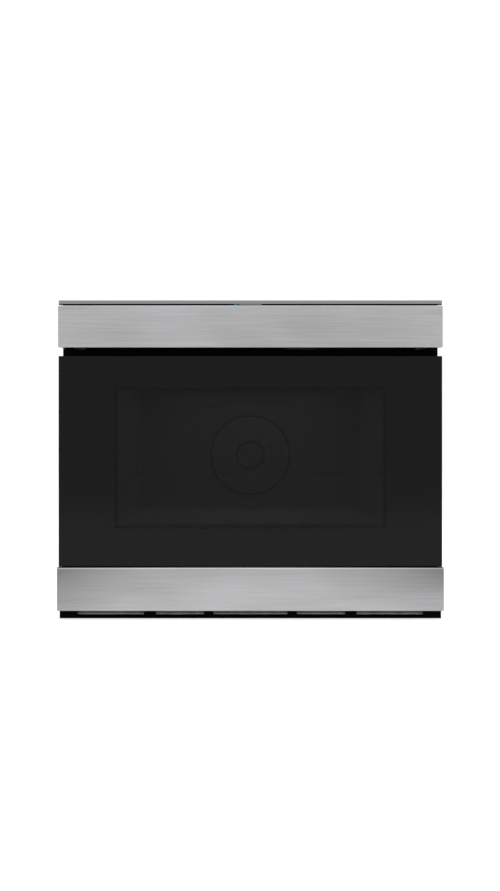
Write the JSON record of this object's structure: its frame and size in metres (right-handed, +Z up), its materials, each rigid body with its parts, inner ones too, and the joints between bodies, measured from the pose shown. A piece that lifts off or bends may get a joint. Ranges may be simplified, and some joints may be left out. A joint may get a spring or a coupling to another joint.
{
  "type": "microwave drawer",
  "caption": "Built-in drawer microwave: a tub rides out on a black glass door above a stainless strip; a stainless control panel tips forward over it.",
  "frame": {"origin": "middle of the footprint, on the surface that the case stands on", "axes": "+X to the right seen from the front, -Y towards the user, +Z up"},
  "size_m": [0.6064, 0.594, 0.5033],
  "materials": {
    "stainless": "brushed horizontally",
    "trim_steel": "satin",
    "door_glass": "tinted, gloss",
    "panel_glass": "black, gloss",
    "window_glass": "clear",
    "ceramic_plate": "glazed",
    "black_paint": "satin black",
    "grey_enamel": "gloss enamel",
    "galvanised": "galvanised",
    "plain_steel": "zinc plated",
    "aluminium": "as rolled",
    "black_plastic": "moulded",
    "white_plastic": "moulded",
    "light_blue": "clear, lit",
    "mica": "pressed mica",
    "circuit_board": "lacquered",
    "varnished_core": "varnished",
    "gear_plastic": "moulded",
    "screw_steel": "plated",
    "black_rubber": "extruded"
  },
  "bodies": {
    "case": {"base_plate": "galvanised", "outer_wrapper": "galvanised", "back_panel": "galvanised", "cord_gland": "black_plastic", "front_frame": "black_paint", "top_trim": "trim_steel", "trim_seal": "black_rubber", "status_light": "light_blue", "vent_grille": "black_plastic", "exhaust_duct": "galvanised", "oven_cavity": "grey_enamel", "stirrer_cover": "mica", "waveguide": "galvanised", "magnetron": "aluminium", "stirrer_motor": "plain_steel", "cooling_fan_housing": "black_plastic", "convection_chamber": "galvanised", "heating_element": "plain_steel", "convection_motor": "plain_steel", "oven_lamp": "white_plastic", "hv_transformer": "varnished_core", "hv_capacitor": "aluminium", "power_board": "circuit_board", "noise_filter": "circuit_board", "slide_outer_left": "plain_steel", "slide_outer_right": "plain_steel", "drive_motor_bracket": "galvanised", "drive_motor": "plain_steel", "interlock_bracket": "galvanised", "interlock_switches": "white_plastic", "panel_hinge_brackets": "black_paint", "case_screws": "screw_steel"},
    "slide_middle": {"slide_middle_left": "plain_steel", "slide_middle_right": "plain_steel"},
    "drawer": {"drawer_tub": "grey_enamel", "floor_plate": "ceramic_plate", "fan_cover": "plain_steel", "door_inner_frame": "black_paint", "door_screen": "black_paint", "inner_window_glass": "window_glass", "door_glass": "door_glass", "door_bottom_trim": "stainless", "door_choke_cover": "black_plastic", "latch_hooks": "plain_steel", "door_screws": "screw_steel", "slide_inner_left": "plain_steel", "slide_inner_right": "plain_steel", "carriage_frame": "galvanised", "drive_rack": "gear_plastic"},
    "control_panel": {"panel_fascia": "stainless", "panel_housing": "black_plastic", "touch_glass": "panel_glass", "panel_display_board": "circuit_board", "panel_hinge_pins": "screw_steel"},
    "drive_pinion": {"drive_pinion": "gear_plastic"},
    "stirrer": {"stirrer_antenna": "aluminium"},
    "cooling_fan": {"cooling_fan_wheel": "black_plastic"},
    "convection_fan": {"convection_fan_wheel": "aluminium"},
    "plunger_left": {"switch_plunger_left": "gear_plastic"},
    "plunger_right": {"switch_plunger_right": "gear_plastic"}
  },
  "joints": [
    {"name": "drawer_slide", "type": "slide", "parent": "case", "child": "drawer", "axis": [0, -1, 0], "range_m": [0, 0.38]},
    {"name": "middle_slide", "type": "slide", "parent": "case", "child": "slide_middle", "axis": [0, -1, 0], "range_m": [0, 0.19]},
    {"name": "pinion_spin", "type": "hinge", "parent": "case", "child": "drive_pinion", "pos_m": [0, -0.2, 0.07437], "axis": [1, 0, 0], "range_deg": [-2, 1248.14]},
    {"name": "panel_tilt", "type": "hinge", "parent": "case", "child": "control_panel", "pos_m": [0, -0.277, 0.43], "axis": [1, 0, 0], "range_deg": [0, 45]},
    {"name": "stirrer_spin", "type": "hinge", "parent": "case", "child": "stirrer", "pos_m": [0, 0, 0.3982], "axis": [0, 0, 1], "continuous": true},
    {"name": "cooling_fan_spin", "type": "hinge", "parent": "case", "child": "cooling_fan", "pos_m": [0.15, 0.226, 0.4252], "axis": [1, 0, 0], "continuous": true},
    {"name": "convection_fan_spin", "type": "hinge", "parent": "case", "child": "convection_fan", "pos_m": [0, 0.159, 0.2541], "axis": [0, 1, 0], "continuous": true},
    {"name": "plunger_left_press", "type": "slide", "parent": "case", "child": "plunger_left", "axis": [0, 1, 0], "range_m": [0, 0.002], "stiffness_N_per_m": 400},
    {"name": "plunger_right_press", "type": "slide", "parent": "case", "child": "plunger_right", "axis": [0, 1, 0], "range_m": [0, 0.002], "stiffness_N_per_m": 400}
  ],
  "couplings": [
    {"joint": "middle_slide", "follows": "drawer_slide", "ratio": 0.5},
    {"joint": "pinion_spin", "follows": "drawer_slide", "rad_per_m": 57.143}
  ]
}
